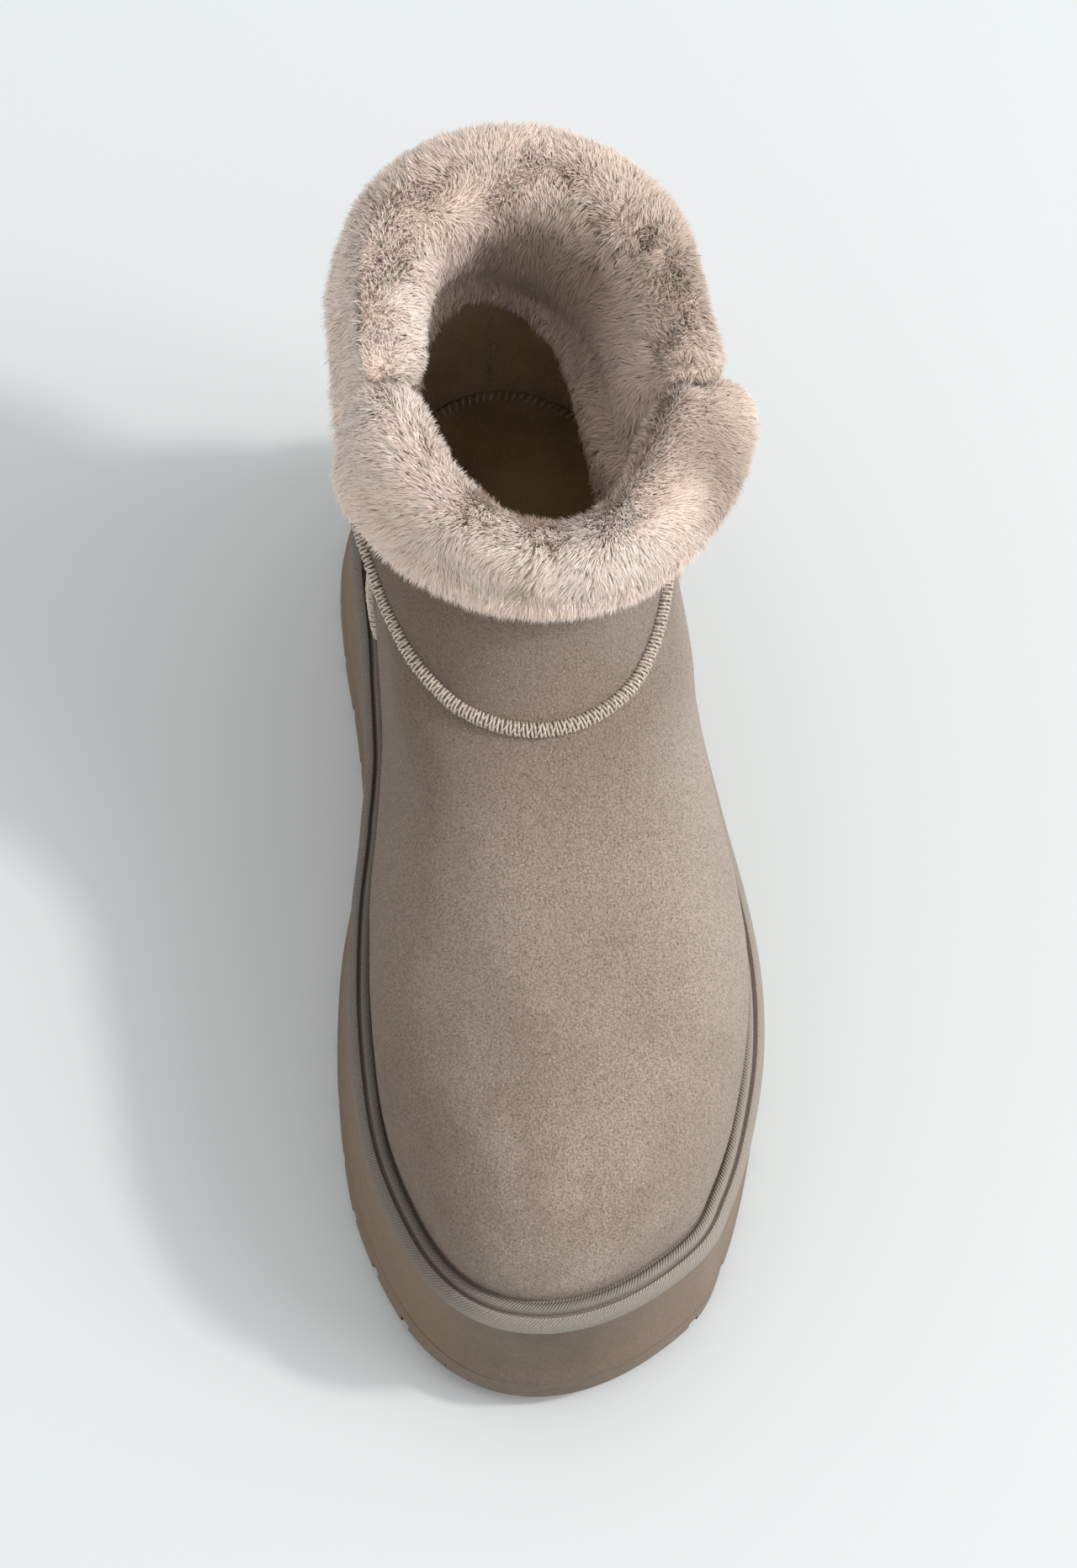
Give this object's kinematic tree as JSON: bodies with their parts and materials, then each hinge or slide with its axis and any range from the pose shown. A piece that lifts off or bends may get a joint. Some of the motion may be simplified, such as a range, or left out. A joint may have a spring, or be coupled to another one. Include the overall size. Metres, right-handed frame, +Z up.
{
  "type": "ankle boot",
  "caption": "Left ankle-high sheepskin boot in suede with a turned-over fur cuff, raised overlock seams and a tall flat platform sole with lugs round its edge",
  "frame": {"origin": "on the floor, under the middle of the boot's bounding box", "axes": "+Z up, toe to -Y and heel to +Y, +X to the little-toe side"},
  "size_m": [0.1158, 0.2916, 0.1735],
  "materials": {
    "suede": "napped matt suede",
    "fur": "deep soft sheepskin pile",
    "sole_rubber": "matt moulded foam rubber with a fine leather-like grain",
    "rim_rubber": "satin moulded rubber",
    "seam_thread": "matt wrapped thread",
    "insole_suede": "matt dark suede"
  },
  "bodies": {
    "root": {"outsole": "sole_rubber", "midsole": "sole_rubber", "welt_rim": "rim_rubber", "insole": "insole_suede", "upper": "suede", "instep_seam": "seam_thread", "side_seam_lateral": "seam_thread", "side_seam_medial": "seam_thread", "fur_cuff_front": "fur", "fur_cuff_back": "fur"}
  },
  "joints": []
}
